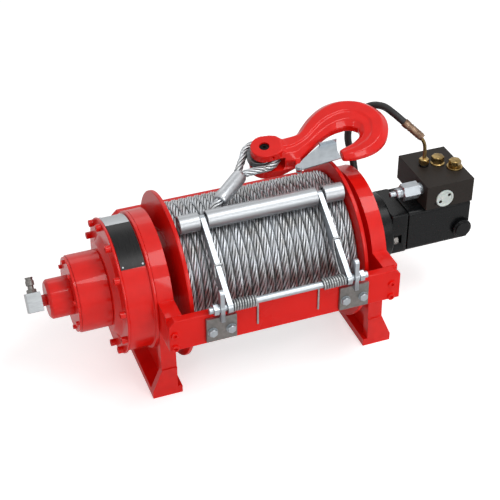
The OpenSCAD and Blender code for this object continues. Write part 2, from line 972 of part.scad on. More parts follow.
left_end_frame();
right_end_frame();
front_tie_bar();
rear_tie_bar();
tie_bar_screws();
ring_gear_housing();
gearbox_cover();
gearbox_cover_bolts();
clutch_housing();
clutch_cover();
end_cap();
air_inlet_block();
air_nipple();
rating_plate();
brake_housing();
motor_flange();
motor_body();
motor_boss_cap();
valve_block();
relief_cartridge();
block_plug();
port_fittings();
brake_hose();
hose_fittings();
roller_brackets();
bracket_bolts();
pivot_shaft();
spring_legs();
rope_tail();
rope_ferrule();
rope_eye();
thimble();
drum_barrel();
drum_flanges();
rope_winding();
roller_arms();
torsion_springs();
roller_tubes();
roller_axle();
hook_forging();
hook_pin();
hook_latch();
latch_pin();
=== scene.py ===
import math

import bmesh
import bpy
from mathutils import Euler, Matrix, Vector


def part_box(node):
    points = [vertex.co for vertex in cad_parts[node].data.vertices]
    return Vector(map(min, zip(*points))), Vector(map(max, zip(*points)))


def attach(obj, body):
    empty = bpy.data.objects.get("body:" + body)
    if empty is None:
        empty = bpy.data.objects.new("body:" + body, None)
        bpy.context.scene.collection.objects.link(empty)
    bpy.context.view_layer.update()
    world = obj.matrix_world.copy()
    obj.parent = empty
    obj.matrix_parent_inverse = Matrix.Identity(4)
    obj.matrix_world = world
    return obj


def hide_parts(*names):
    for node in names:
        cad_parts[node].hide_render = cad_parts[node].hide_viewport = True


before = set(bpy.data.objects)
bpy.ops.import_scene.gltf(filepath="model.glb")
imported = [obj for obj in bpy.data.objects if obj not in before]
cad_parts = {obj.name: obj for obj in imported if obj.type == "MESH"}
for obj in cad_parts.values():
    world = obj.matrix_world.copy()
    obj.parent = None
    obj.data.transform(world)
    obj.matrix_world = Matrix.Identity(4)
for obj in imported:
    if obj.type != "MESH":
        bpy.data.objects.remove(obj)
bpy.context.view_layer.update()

# End frames. Two steel castings, each a bearing ring over a pair of legs with
# a recessed web between them. They are fettled, primed and sprayed with gloss
# red enamel, and the drum's journals turn in their bores.

MM = 0.001


def linear(code):
    """The linear colour of an sRGB hex value."""
    parts = [int(code[i:i + 2], 16) / 255 for i in (1, 3, 5)]
    return [p / 12.92 if p <= 0.04045 else ((p + 0.055) / 1.055) ** 2.4 for p in parts] + [1.0]


def put(tree, kind, inputs=None, **settings):
    """Adds a node with its settings; an input is a value, or a socket to link from."""
    made = tree.nodes.new(kind)
    for name, value in settings.items():
        setattr(made, name, value)
    for name, value in (inputs or {}).items():
        if isinstance(value, bpy.types.NodeSocket):
            tree.links.new(value, made.inputs[name])
        else:
            made.inputs[name].default_value = value
    return made


def finish_named(name):
    """A new material's tree with its shader joined to the output."""
    made = bpy.data.materials.new(name)
    made.use_nodes = True
    tree = made.node_tree
    tree.nodes.clear()
    shader = put(tree, "ShaderNodeBsdfPrincipled")
    put(tree, "ShaderNodeOutputMaterial", {"Surface": shader.outputs["BSDF"]})
    return made, tree, shader


def speckle(tree, period, stretch=(1, 1, 1), detail=3.0):
    """A noise field whose grains are a real size in millimetres."""
    place = put(tree, "ShaderNodeTexCoord")
    grain = put(tree, "ShaderNodeMapping", {"Vector": place.outputs["Object"], "Scale": stretch})
    return put(tree, "ShaderNodeTexNoise", {
        "Vector": grain.outputs["Vector"], "Scale": 1 / (period * MM), "Detail": detail}).outputs["Fac"]


def toned(tree, field, low, high, dark, light):
    """Two colours mixed where a field runs from low to high."""
    share = put(tree, "ShaderNodeMapRange", {"Value": field, "From Min": low, "From Max": high})
    blend = put(tree, "ShaderNodeMix", {"Factor": share.outputs["Result"]}, data_type="RGBA")
    blend.inputs[6].default_value = linear(dark)
    blend.inputs[7].default_value = linear(light)
    return blend.outputs[2]


def ranged(tree, field, low, high, least, most):
    """A field's values from low to high turned into least to most."""
    return put(tree, "ShaderNodeMapRange", {
        "Value": field, "From Min": low, "From Max": high, "To Min": least, "To Max": most}).outputs["Result"]


def roughened(tree, shader, field, height):
    """Raises the surface by a field, with its height in millimetres."""
    bump = put(tree, "ShaderNodeBump", {"Height": field, "Distance": height * MM, "Strength": 1.0})
    tree.links.new(bump.outputs["Normal"], shader.inputs["Normal"])


def surface(name, colours, roughness, period, detail=3.0, stretch=(1, 1, 1), tone=(0.3, 0.7),
            bump=0.0, bump_period=0.0, **sockets):
    """A finish whose colour and roughness drift over grains of a period in millimetres.

    Bumps of a height in millimetres follow the same grains, or grains of a
    period of their own. A socket that is the same all over is set by its name.
    """
    made, tree, shader = finish_named(name)
    grain = speckle(tree, period, stretch, detail)
    tree.links.new(toned(tree, grain, *tone, *colours), shader.inputs["Base Color"])
    if roughness:
        tree.links.new(ranged(tree, grain, 0.3, 0.7, *roughness), shader.inputs["Roughness"])
    if bump:
        roughened(tree, shader, speckle(tree, bump_period) if bump_period else grain, bump)
    for socket, value in sockets.items():
        shader.inputs[socket.replace("_", " ")].default_value = value
    return made


# Two-pack gloss enamel sprayed over castings: a deep even red under a wet
# looking film, which shows a faint orange peel
red_enamel = surface(
    "red_enamel_on_casting", ("#E2160F", "#EA1911"), (0.3, 0.36), 26, detail=5, tone=(0.35, 0.65),
    bump=0.012, bump_period=5, Specular_IOR_Level=0.14, Coat_Weight=0.42, Coat_Roughness=0.05)


def plain_mesh(name, source):
    """A new object for a bmesh, at the origin."""
    mesh = bpy.data.meshes.new(name)
    source.to_mesh(mesh)
    source.free()
    made = bpy.data.objects.new(name, mesh)
    bpy.context.scene.collection.objects.link(made)
    return made


def settled(piece):
    """Turns a piece's modifiers into plain mesh and takes them off."""
    bpy.context.view_layer.update()
    seen = piece.evaluated_get(bpy.context.evaluated_depsgraph_get())
    piece.data = bpy.data.meshes.new_from_object(seen)
    piece.modifiers.clear()
    return piece


def fitted(piece, finish, body="frame", node=None):
    """Gives a piece its finish, its body and the CAD node it stands for."""
    if finish:
        piece.data.materials.append(finish)
    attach(piece, body)
    if node:
        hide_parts(node)
    return piece


def softened(node, radius, finish, body="frame", steps=2):
    """A copy of a CAD node with its edges rounded over, standing for the node."""
    shape = bmesh.new()
    shape.from_mesh(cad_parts[node].data)
    bmesh.ops.remove_doubles(shape, verts=shape.verts, dist=0.01 * MM)
    bmesh.ops.dissolve_limit(shape, angle_limit=math.radians(0.6), verts=shape.verts, edges=shape.edges)
    made = plain_mesh(node + "_finished", shape)
    made.data.materials.append(finish)
    made.data.shade_smooth()
    edge = made.modifiers.new("edge", "BEVEL")
    edge.width = radius * MM
    edge.segments = steps
    edge.limit_method = "ANGLE"
    edge.angle_limit = math.radians(28)
    even = made.modifiers.new("even", "WEIGHTED_NORMAL")
    even.weight = 90
    settled(made)
    return fitted(made, None, body, node)


softened("left_end_frame", 3, red_enamel)
softened("right_end_frame", 3, red_enamel)

# Tie bars. Flat steel bars with clipped upper corners that hold the end
# frames apart at front and rear, screwed to the frames' shoulders and
# sprayed with them.

# The same enamel over flat rolled bar, so it is smoother and shines more
red_bar_enamel = surface(
    "red_enamel_on_rolled_steel", ("#E2160F", "#EA1911"), (0.26, 0.32), 90, bump=0.03, bump_period=6,
    Specular_IOR_Level=0.1, Coat_Weight=0.2, Coat_Roughness=0.04)

softened("front_tie_bar", 1.6, red_bar_enamel)
softened("rear_tie_bar", 1.6, red_bar_enamel)

# Tie bar screws. Socket cap screws, two at each end of each bar, painted over
# with the bar so that only the hexagon socket shows dark.


def turned(shape, rings, place=Matrix(), sides=48):
    """Adds a closed turned form; a ring is (radius, height) or (across flats, height, "hex")."""
    loops = []
    for ring in rings:
        loop = []
        for k in range(sides):
            turn = 2 * math.pi * k / sides
            reach = ring[0]
            if len(ring) == 3:
                reach = ring[0] / 2 / math.cos((turn + math.pi / 6) % (math.pi / 3) - math.pi / 6)
            at = Vector((reach * math.cos(turn), reach * math.sin(turn), ring[1])) * MM
            loop.append(shape.verts.new(place @ at))
        loops.append(loop)
    for low, high in zip(loops, loops[1:]):
        for k in range(sides):
            n = (k + 1) % sides
            shape.faces.new((low[k], low[n], high[n], high[k]))
    shape.faces.new(loops[0][::-1])
    shape.faces.new(loops[-1])


def crisp(piece, degrees=32):
    """Smooth shading that breaks at edges sharper than this."""
    piece.data.shade_smooth()
    piece.data.set_sharp_from_angle(angle=math.radians(degrees))
    return piece


def socket_rings(radius, height, key, depth):
    """The rings of a cap screw's head from its seat up, with its socket."""
    return [(radius, 0), (radius, height - radius * 0.12), (radius * 0.88, height), (key / 2 + 1.6, height),
            (key, height, "hex"), (key, height - depth, "hex")]


def tree_with(name, **sockets):
    """A geometry tree that takes geometry and these inputs, and its input sockets."""
    tree = bpy.data.node_groups.new(name, "GeometryNodeTree")
    for label, kind in (("Geometry", "Geometry"), *sockets.items()):
        tree.interface.new_socket(label.replace("_", " "), in_out="INPUT", socket_type="NodeSocket" + kind)
    tree.interface.new_socket("Geometry", in_out="OUTPUT", socket_type="NodeSocketGeometry")
    return tree, put(tree, "NodeGroupInput").outputs


def stored(tree, name, kind="FLOAT"):
    """The socket that reads a named attribute."""
    return put(tree, "GeometryNodeInputNamedAttribute", {"Name": name}, data_type=kind).outputs["Attribute"]


def handed_out(tree, geometry, finish):
    """Ends a tree with plain mesh in one finish."""
    solid = put(tree, "GeometryNodeRealizeInstances", {"Geometry": geometry})
    coated = put(tree, "GeometryNodeSetMaterial", {"Geometry": solid.outputs["Geometry"], "Material": finish})
    put(tree, "NodeGroupOutput", {"Geometry": coated.outputs["Geometry"]})
    return tree


def fastener_tree():
    """Sets one head on every point of a mesh, turned by the point's own attribute."""
    tree, given = tree_with("set_fasteners", Head="Object", Size="Float", Finish="Material")
    head = put(tree, "GeometryNodeObjectInfo", {"Object": given["Head"]})
    facing = put(tree, "FunctionNodeEulerToRotation", {"Euler": stored(tree, "turn", "FLOAT_VECTOR")})
    seats = put(tree, "GeometryNodeInstanceOnPoints", {
        "Points": given["Geometry"], "Instance": head.outputs["Geometry"],
        "Rotation": facing.outputs["Rotation"], "Scale": given["Size"]})
    return handed_out(tree, seats.outputs["Instances"], given["Finish"])


def grown(name, carrier, tree, **values):
    """Runs a node tree on a carrier mesh and keeps what it makes as plain mesh."""
    made = bpy.data.objects.new(name, carrier)
    bpy.context.scene.collection.objects.link(made)
    growth = made.modifiers.new("growth", "NODES")
    growth.node_group = tree
    for item in tree.interface.items_tree:
        if item.in_out == "INPUT" and item.name.replace(" ", "_") in values:
            growth[item.identifier] = values[item.name.replace(" ", "_")]
    return settled(made)


def fastened(name, rings, seats, finish, node=None):
    """Heads of one kind on every seat, which is a point in mm and its turn in degrees."""
    head = bmesh.new()
    turned(head, rings, sides=24)
    pattern = crisp(plain_mesh(name + "_pattern", head))
    carrier = bpy.data.meshes.new(name)
    carrier.from_pydata([[c * MM for c in p] for p, _ in seats], [], [])
    turn = carrier.attributes.new("turn", "FLOAT_VECTOR", "POINT")
    turn.data.foreach_set("vector", [math.radians(a) for _, t in seats for a in t])
    made = grown(name, carrier, fasteners, Head=pattern, Size=1.0, Finish=finish)
    bpy.data.objects.remove(pattern)
    fitted(crisp(made), None, node=node)


def in_mm(node):
    """The low and the high corner of a CAD node's box, in mm."""
    return (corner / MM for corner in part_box(node))


fasteners = fastener_tree()
low, high = in_mm("tie_bar_screws")
screw_radius, screw_height, screw_key, socket_depth = 8.6, 4.6, 8, 4.2
# how far each pair stands in from the ends and edges of the solids' screws
left_inset, right_inset, low_inset, high_inset, seat_inset = 7, 16, 5, 4, 4
fastened("tie_bar_screw_heads", socket_rings(screw_radius, screw_height, screw_key, socket_depth), [
    ((x, side * (high.y - seat_inset), z), (-90 * side, 0, 0)) for side in (1, -1)
    for x in (low.x + left_inset, high.x - right_inset) for z in (low.z + low_inset, high.z - high_inset)],
    red_bar_enamel, "tie_bar_screws")

# Drum. A tube with a turned steel flange welded on at each end, and journals
# that turn in the end frames. It is painted all over before the rope goes on.

# The enamel over turned plate, with the ghost of the turning under the film
red_turned_enamel = surface(
    "red_enamel_on_turned_steel", ("#DC140E", "#E41710"), (0.28, 0.34), 14, stretch=(0.2, 1, 1),
    bump=0.012, Specular_IOR_Level=0.14, Coat_Weight=0.16, Coat_Roughness=0.08)

softened("drum_barrel", 1.5, red_turned_enamel, "drum")
softened("drum_flanges", 2, red_turned_enamel, "drum")

# Rope winding. Galvanised wire rope, six strands laid round a core, wound in
# close turns over the layers below. Every strand is swept along the turns.


def maths(tree, operation, *values, **settings):
    """The result of a sum on numbers and sockets."""
    return put(tree, "ShaderNodeMath", dict(enumerate(values)), operation=operation, **settings).outputs[0]


def noted(tree, geometry, name, value, kind="FLOAT", domain="POINT"):
    """The geometry with a field kept on it under a name."""
    return put(tree, "GeometryNodeStoreNamedAttribute", {"Geometry": geometry, "Name": name, "Value": value},
               data_type=kind, domain=domain).outputs["Geometry"]


def strand_tree():
    """Lays strands round a path and stores the run along and round each as its UV map."""
    tree, given = tree_with("laid_strands", Strands="Int", Lay_Radius="Float", Lay_Length="Float",
                            Strand_Radius="Float", Sides="Int", Finish="Material")
    line = put(tree, "GeometryNodeMeshToCurve", {"Mesh": given["Geometry"]})
    copies = put(tree, "GeometryNodeDuplicateElements", {
        "Geometry": line.outputs["Curve"], "Amount": given["Strands"]}, domain="SPLINE")
    run = put(tree, "GeometryNodeSplineParameter").outputs["Length"]
    lays = maths(tree, "DIVIDE", run, given["Lay Length"])
    share = maths(tree, "DIVIDE", copies.outputs["Duplicate Index"], given["Strands"])
    angle = maths(tree, "MULTIPLY", maths(tree, "ADD", lays, share), 2 * math.pi)
    normal = put(tree, "GeometryNodeInputNormal").outputs["Normal"]
    tangent = put(tree, "GeometryNodeInputTangent").outputs["Tangent"]
    across = put(tree, "ShaderNodeVectorMath", {0: tangent, 1: normal}, operation="CROSS_PRODUCT")
    parts = []
    for direction, wave in ((normal, "COSINE"), (across.outputs[0], "SINE")):
        reach = maths(tree, "MULTIPLY", maths(tree, wave, angle), given["Lay Radius"])
        part = put(tree, "ShaderNodeVectorMath", {0: direction, "Scale": reach}, operation="SCALE")
        parts.append(part.outputs[0])
    offset = put(tree, "ShaderNodeVectorMath", dict(enumerate(parts)), operation="ADD")
    middle = put(tree, "GeometryNodeInputPosition").outputs["Position"]
    laid = noted(tree, copies.outputs["Geometry"], "along", run)
    laid = noted(tree, laid, "centre", middle, "FLOAT_VECTOR")
    moved = put(tree, "GeometryNodeSetPosition", {"Geometry": laid, "Offset": offset.outputs[0]})
    section = put(tree, "GeometryNodeCurveArc", {
        "Resolution": given["Sides"], "Radius": given["Strand Radius"], "Sweep Angle": 2 * math.pi})
    round_run = put(tree, "GeometryNodeSplineParameter").outputs["Factor"]
    ringed = noted(tree, section.outputs["Curve"], "around", round_run)
    strand = put(tree, "GeometryNodeCurveToMesh", {
        "Curve": moved.outputs["Geometry"], "Profile Curve": ringed}).outputs["Mesh"]
    flat = put(tree, "ShaderNodeCombineXYZ", {"X": stored(tree, "along"), "Y": stored(tree, "around")})
    mapped = noted(tree, strand, "UVMap", flat.outputs[0], "FLOAT2", "CORNER")
    # how far out of the rope's own middle each point lies, from its valleys to its crowns, kept for the
    # finish to paint shade in the valleys
    away = put(tree, "ShaderNodeVectorMath", {0: middle, 1: stored(tree, "centre", "FLOAT_VECTOR")},
               operation="DISTANCE").outputs["Value"]
    whole = maths(tree, "ADD", given["Lay Radius"], given["Strand Radius"])
    shade_height_kept = noted(tree, mapped, "crown", maths(tree, "DIVIDE", away, whole))
    closed = put(tree, "GeometryNodeMergeByDistance", {"Geometry": shade_height_kept, "Distance": 0.01 * MM})
    return handed_out(tree, closed.outputs["Geometry"], given["Finish"])


def swept(name, path, finish, radius, body="frame", node=None,
          strands=1, lay_radius=0.0, lay_length=100.0, sides=12):
    """Strands or one rod along a path in mm, with closed ends."""
    carrier = bpy.data.meshes.new(name)
    carrier.from_pydata([[c * MM for c in p] for p in path], [(i, i + 1) for i in range(len(path) - 1)], [])
    made = grown(name, carrier, strand_sweeper, Strands=strands, Lay_Radius=lay_radius * MM,
                 Lay_Length=lay_length * MM, Strand_Radius=radius * MM, Sides=sides + 1, Finish=finish)
    shape = bmesh.new()
    shape.from_mesh(made.data)
    bmesh.ops.holes_fill(shape, edges=[e for e in shape.edges if e.is_boundary], sides=0)
    bmesh.ops.recalc_face_normals(shape, faces=shape.faces)
    shape.to_mesh(made.data)
    shape.free()
    fitted(crisp(made, 50), None, body, node)


strand_sweeper = strand_tree()

# Drawn galvanised wire: satin zinc grey, with painted shade that darkens each
# strand from its crown down into the valleys, and the wires of each strand as
# fine slanting ridges. Ten ridges stand for the nineteen or more real wires,
# which are too fine to show.
rope_wire, tree, shader = finish_named("galvanised_wire_rope")
chart = put(tree, "ShaderNodeTexCoord")
run = put(tree, "ShaderNodeSeparateXYZ", {"Vector": chart.outputs["UV"]}).outputs
ridges, ridge_lay = 10, 7 * MM
wires_round = maths(tree, "MULTIPLY", run["Y"], 2 * math.pi * ridges)
wires_along = maths(tree, "MULTIPLY", run["X"], -2 * math.pi / ridge_lay)
ridge = maths(tree, "SINE", maths(tree, "ADD", wires_round, wires_along))
stain = speckle(tree, 38, detail=4)
# painted shade: near black in the valleys between strands and pale on their crowns, read from each point's
# height out of the rope's middle
crown = put(tree, "ShaderNodeAttribute", attribute_name="crown").outputs["Fac"]
painted_valley_shade_and_wires = maths(tree, "ADD", maths(tree, "MULTIPLY", ridge, 0.03), crown)
stained = put(tree, "ShaderNodeMix", {
    "Factor": 1.0, 6: toned(tree, painted_valley_shade_and_wires, 0.72, 0.98, "#211F1E", "#DEE3E8"),
    7: toned(tree, stain, 0.3, 0.62, "#C6C1BB", "#FFFFFF")}, data_type="RGBA", blend_type="MULTIPLY")
tree.links.new(stained.outputs[2], shader.inputs["Base Color"])
tree.links.new(ranged(tree, stain, 0.3, 0.7, 0.3, 0.42), shader.inputs["Roughness"])
shader.inputs["Metallic"].default_value = 0.85
roughened(tree, shader, ridge, 0.1)

axis_z = 235.0
drum_half = 210.0
turns = 22
pitch = 2 * drum_half / turns
rope_radius = 9.5
turn_radius = 157.5
steps = 84
strand_radius = 3.2
crossing = 0.1
path_start = -0.6


def on_drum(x, turn, radius):
    """A point round the drum, its turn counted from the rear."""
    return (x, radius * math.cos(turn), axis_z + radius * math.sin(turn))


winding_path = []
for i in range(int(turns * steps) + 1):
    along_turns = i / steps
    base = math.floor(along_turns)
    part = along_turns - base
    # each turn lies square to the drum and crosses to the next one under the rear bar
    cross = min(max((part - 1 + crossing) / crossing, 0), 1)
    if base >= turns - 1:
        cross = 0
    x = -drum_half + pitch * (min(base, turns - 1) + 0.5 + cross)
    winding_path.append(on_drum(x, 2 * math.pi * part + path_start, turn_radius))

swept("rope_winding_strands", winding_path, rope_wire, strand_radius, "drum", strands=6,
      lay_radius=rope_radius - strand_radius, lay_length=118, sides=6)


def stood_at(point, turn=0, axis="X"):
    """A place in mm, turned about one axis by degrees."""
    return Matrix.Translation(Vector(point) * MM) @ Matrix.Rotation(math.radians(turn), 4, axis)


def lathed(name, rings, place, finish, body="frame", node=None, sides=48, degrees=32):
    """A turned piece of its own, its rings in mm along the place's Z axis."""
    shape = bmesh.new()
    turned(shape, rings, place, sides)
    return fitted(crisp(plain_mesh(name, shape), degrees), finish, body, node)


# The layers underneath and the core of the top turns, painted near black so
# that they stand for the shade in the valleys between the strands
valley_shade_core = surface("greased_rope_core", ("#2A2927", "#4A4947"), (0.45, 0.65), 12, Metallic=0.5)
core_bore = 112
profile = [(core_bore, -drum_half + 0.6)]
for k in range(turns):
    middle = -drum_half + pitch * (k + 0.5)
    profile += [(turn_radius - 5, middle - pitch / 2 + 0.8), (turn_radius + 1.6, middle - 3.4),
                (turn_radius + 3.6, middle), (turn_radius + 1.6, middle + 3.4)]
profile += [(turn_radius - 5, drum_half - 0.8), (core_bore, drum_half - 0.6)]
lathed("rope_layers_below", profile, stood_at((0, 0, axis_z), 90, "Y"), valley_shade_core, "drum",
       "rope_winding", sides=96, degrees=60)

# Gearbox. The planetary ring gear housing, its bolted cover and the clutch
# housing with its own cover and end cap, turned castings stacked along the
# drum's axis and sprayed red with the frame.
for node, edge in (("ring_gear_housing", 2), ("gearbox_cover", 2), ("clutch_housing", 2),
                   ("clutch_cover", 1), ("end_cap", 1.5)):
    softened(node, edge, red_enamel)

# Cover bolts. Socket cap screws round the gearbox cover, tightened before the
# enamel goes on, so that they are red too.
low, high = in_mm("gearbox_cover_bolts")
bolt_circle, cover_bolts, first_bolt = 152, 12, 10
bolt_seats = []
for k in range(cover_bolts):
    turn = math.radians(first_bolt + k * 360 / cover_bolts)
    bolt_seats.append((
        (high.x, bolt_circle * math.sin(turn), axis_z + bolt_circle * math.cos(turn)), (0, -90, 0)))
fastened("gearbox_cover_screw_heads", socket_rings(8.5, high.x - low.x, 10, 8), bolt_seats, red_enamel,
         "gearbox_cover_bolts")

# Air inlet. A plain machined aluminium block on a hexagon neck at the end of
# the clutch cap, with a steel nipple screwed into its top.

# Milled aluminium left bare: pale grey with fine parallel cutter marks
bare_aluminium = surface("milled_bare_aluminium", ("#AEB2B5", "#C0C4C6"), (0.28, 0.42), 1.6,
                         stretch=(0.08, 1, 1), bump=0.008, Metallic=1.0)

# Bright zinc plate on steel, passivated clear: cool grey, slightly clouded
zinc_plate = surface("clear_passivated_zinc", ("#A5ABB0", "#B5BBC0"), (0.36, 0.42), 14, detail=4,
                     bump=0.006, bump_period=4, Metallic=1.0)

# Zinc plate over hot rolled plate: the scale's grain leaves it greyer and duller
zinc_rolled = surface("zinc_on_hot_rolled_plate", ("#75726F", "#8A8784"), (0.4, 0.5), 9, detail=4,
                      bump=0.015, bump_period=3, Metallic=0.9)

block = softened("air_inlet_block", 1.2, bare_aluminium)
# shorter and squarer than the model's block; the hexagon neck was sprayed over with the cap
neck_length = 12
block_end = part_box("air_inlet_block")[1].x - neck_length * MM
block_squeeze, block_spread = 0.8, 1.2
for vert in block.data.vertices:
    if vert.co.x < block_end - 0.02 * MM:
        vert.co.x = block_end - block_squeeze * (block_end - vert.co.x)
        vert.co.y *= block_spread
        vert.co.z = axis_z * MM + block_spread * (vert.co.z - axis_z * MM)
block.data.materials.append(red_enamel)
for face in block.data.polygons:
    if face.center.x > block_end + 0.5 * MM:
        face.material_index = 1
low, high = in_mm("air_nipple")
air_lean, nipple_shift, nipple_seat = -37, 4.3, 22.7
lathed("air_nipple_turned", [
    (22, 0, "hex"), (22, 7, "hex"), (10.4, 8.6), (7, 8.8), (7, 17), (9, 17), (10, 18), (10, 28),
    (8.4, 29.5), (8.4, 33), (9.4, 34), (9.4, 36), (8, 37), (4, 37), (4, 30)],
    stood_at(((low.x + high.x) / 2 + nipple_shift, 0, axis_z), air_lean) @ stood_at((0, 0, nipple_seat)),
    zinc_rolled, node="air_nipple")

# Rating plate. A thin aluminium plate rolled to the housing's curve and held
# by four rivets, left blank, dark over most of its face with a bare band.
low, high = in_mm("rating_plate")

# Black anodised aluminium: near black, satin, with a faint rolled grain
black_anodised = surface("black_anodised_aluminium", ("#0B0B0C", "#151617"), (0.26, 0.36), 2.2,
                         stretch=(1, 0.1, 0.1), bump=0.008, Specular_IOR_Level=0.25)

plate_radius = high.z - axis_z
plate_thickness, arc_steps, rivet_inset = 1.4, 62, 5
rivet_turn = math.radians(2)
plate_front, plate_band, plate_rear = (math.radians(a) for a in (-42.5, 5.5, 35))
plate = bmesh.new()
rows = []
for i in range(arc_steps + 1):
    turn = plate_front + (plate_rear - plate_front) * i / arc_steps
    rows.append([[plate.verts.new(Vector((x, r * math.sin(turn), axis_z + r * math.cos(turn))) * MM)
                  for x in (low.x, high.x)] for r in (plate_radius - plate_thickness, plate_radius)])
for a, b in zip(rows, rows[1:]):
    plate.faces.new((a[1][0], a[1][1], b[1][1], b[1][0]))
    plate.faces.new((a[0][1], a[0][0], b[0][0], b[0][1]))
    plate.faces.new((a[0][0], a[1][0], b[1][0], b[0][0]))
    plate.faces.new((a[1][1], a[0][1], b[0][1], b[1][1]))
for end in (rows[0], rows[-1]):
    plate.faces.new((end[0][0], end[0][1], end[1][1], end[1][0]))
bmesh.ops.recalc_face_normals(plate, faces=plate.faces)
plate = plain_mesh("rating_plate_blank", plate)
plate.data.materials.append(black_anodised)
plate.data.materials.append(bare_aluminium)
for face in plate.data.polygons:
    if math.atan2(face.center.y, face.center.z - axis_z * MM) > plate_band:
        face.material_index = 1
fitted(crisp(plate, 40), None, node="rating_plate")
rivet_seats = []
for x in (low.x + rivet_inset, high.x - rivet_inset):
    for turn in (plate_front + rivet_turn, plate_rear - rivet_turn):
        rivet_seats.append(((x, plate_radius * math.sin(turn), axis_z + plate_radius * math.cos(turn)),
                            (-math.degrees(turn), 0, 0)))
fastened("rating_plate_rivets", [(2.6, -0.5), (2.6, 0.3), (2.1, 1.1), (1.0, 1.5)], rivet_seats,
         zinc_plate)

# Brake and motor. The round disc brake housing between frame and motor, and
# the cast orbital motor, sprayed with semi-gloss black paint.

# Semi-gloss black over iron castings: blue-black, with soft long highlights
black_enamel = surface("black_enamel_on_casting", ("#08090A", "#0D0F11"), (0.24, 0.34), 9, detail=5,
                       bump=0.06, Specular_IOR_Level=0.22)


def boxes(name, centres, size):
    """Boxes of one size in mm to cut with, one at each centre."""
    shape = bmesh.new()
    for centre in centres:
        sized = Matrix.Diagonal((*(side * MM for side in size), 1))
        bmesh.ops.create_cube(shape, size=1, matrix=stood_at(centre) @ sized)
    return plain_mesh(name, shape)


def carved(piece, *cutters):
    """Cuts the cutters out of a piece and takes them away."""
    for cutter in cutters:
        cut = piece.modifiers.new(cutter.name, "BOOLEAN")
        cut.object = cutter
        cut.operation = "DIFFERENCE"
        cut.solver = "EXACT"
    settled(piece)
    for cutter in cutters:
        bpy.data.objects.remove(cutter)


softened("brake_housing", 4, black_enamel, steps=3)
flange = softened("motor_flange", 6, black_enamel, steps=3)
pocket_x, pocket_y, pocket_z = 362, 62, 224
carved(flange, boxes("pocket_cutter", [
    (pocket_x, side * pocket_y, pocket_z) for side in (-1, 1)], (24, 22, 27)))
crisp(flange, 28)
fastened("motor_flange_bolts", [
    (10, -0.5), (10, 1.5), (9, 1.6), (19, 1.7, "hex"), (19, 11, "hex"), (8.6, 12.4)],
    [((pocket_x - 11, side * (pocket_y - 4), pocket_z), (0, 90, 0)) for side in (-1, 1)],
    zinc_rolled)
softened("motor_body", 3.5, black_enamel, steps=3)
softened("motor_boss_cap", 1.5, black_enamel)

# Valve block. A machined steel block, phosphated dark brown, bolted on top
# of the motor.

# Phosphated milled steel: dark brown grey, nearly matt, with cutter marks
phosphated = surface("phosphated_milled_steel", ("#221E1B", "#2E2824"), (0.5, 0.6), 2.4,
                     stretch=(1, 0.1, 1), bump=0.008, Specular_IOR_Level=0.18)
softened("valve_block", 1.4, phosphated)

# Relief valve cartridge. A turned hexagon body screwed into the block's side
# face, with a lock nut and an adjusting screw.
low, high = in_mm("relief_cartridge")
lathed("relief_cartridge_turned", [
    (15, 0), (15, 3), (13.6, 3.6), (13.6, 7), (15, 7.6), (18, 8.6), (38, 10, "hex"), (38, 51, "hex"),
    (17.6, 53), (13, 53.2), (13, 57), (11.8, 57.6), (11.8, 60), (13, 60.6), (13, 66.4), (11.4, 68),
    (7.4, 68.2), (7, 68.6), (7, 82.6), (5.6, 84)],
    stood_at((high.x, (low.y + high.y) / 2, (low.z + high.z) / 2), -90, "Y"),
    zinc_plate, node="relief_cartridge")

# Port plug. A pale moulded transport plug in the block's front port, with a
# raised rim, a boss and two spanner recesses.

# Moulded polyethylene: milky off-white, soft sheen
pale_plastic = surface("moulded_pale_polyethylene", ("#C9CFCA", "#DEE3DE"), (0.36, 0.46), 16,
                       bump=0.05, Subsurface_Weight=0.1)
# Oiled dark steel: almost black, with a soft shine where light reaches it
blued_steel = surface("oiled_dark_steel", ("#0C0B0B", "#161514"), None, 6, Roughness=0.38, Metallic=0.8)

low, high = in_mm("block_plug")
plug_radius = (high.z - low.z) / 2
plug_x, plug_face, plug_z = (low.x + high.x) / 2, high.y, (low.z + high.z) / 2
recess_radius = 4.6
plug = lathed("block_plug_moulded", [
    (plug_radius, 0), (plug_radius, 2), (plug_radius - 1, 3), (plug_radius - 4, 3), (plug_radius - 5, 1.6),
    (11, 1.6), (10, 2.6), (2, 2.9)],
    stood_at((plug_x, plug_face, plug_z), 90), pale_plastic, node="block_plug", sides=64)
for turn in (math.radians(35), math.radians(215)):
    recess = bmesh.new()
    turned(recess, [(recess_radius, 0), (recess_radius, 8)], stood_at(
        (plug_x + 14 * math.cos(turn), plug_face + 1, plug_z + 13.5 * math.sin(turn)), 90), 24)
    carved(plug, plain_mesh("recess_cutter", recess))
crisp(plug)
set_screw_at = (457.8, plug_face, 312)
lathed("block_set_screw", [(3.2, 0), (3.2, 0.4), (2.2, 0.5)], stood_at(set_screw_at, 90), blued_steel,
       sides=24)

# Port fittings. Yellow zinc plated hexagon plugs and the elbow's nut in the
# ports on top of the block.

# Yellow passivated zinc: brassy gold that drifts to olive and rose
yellow_zinc = surface("yellow_passivated_zinc", ("#7E6840", "#B09663"), (0.24, 0.36), 18, detail=4,
                      tone=(0.34, 0.66), bump=0.03, bump_period=3, Metallic=1.0)

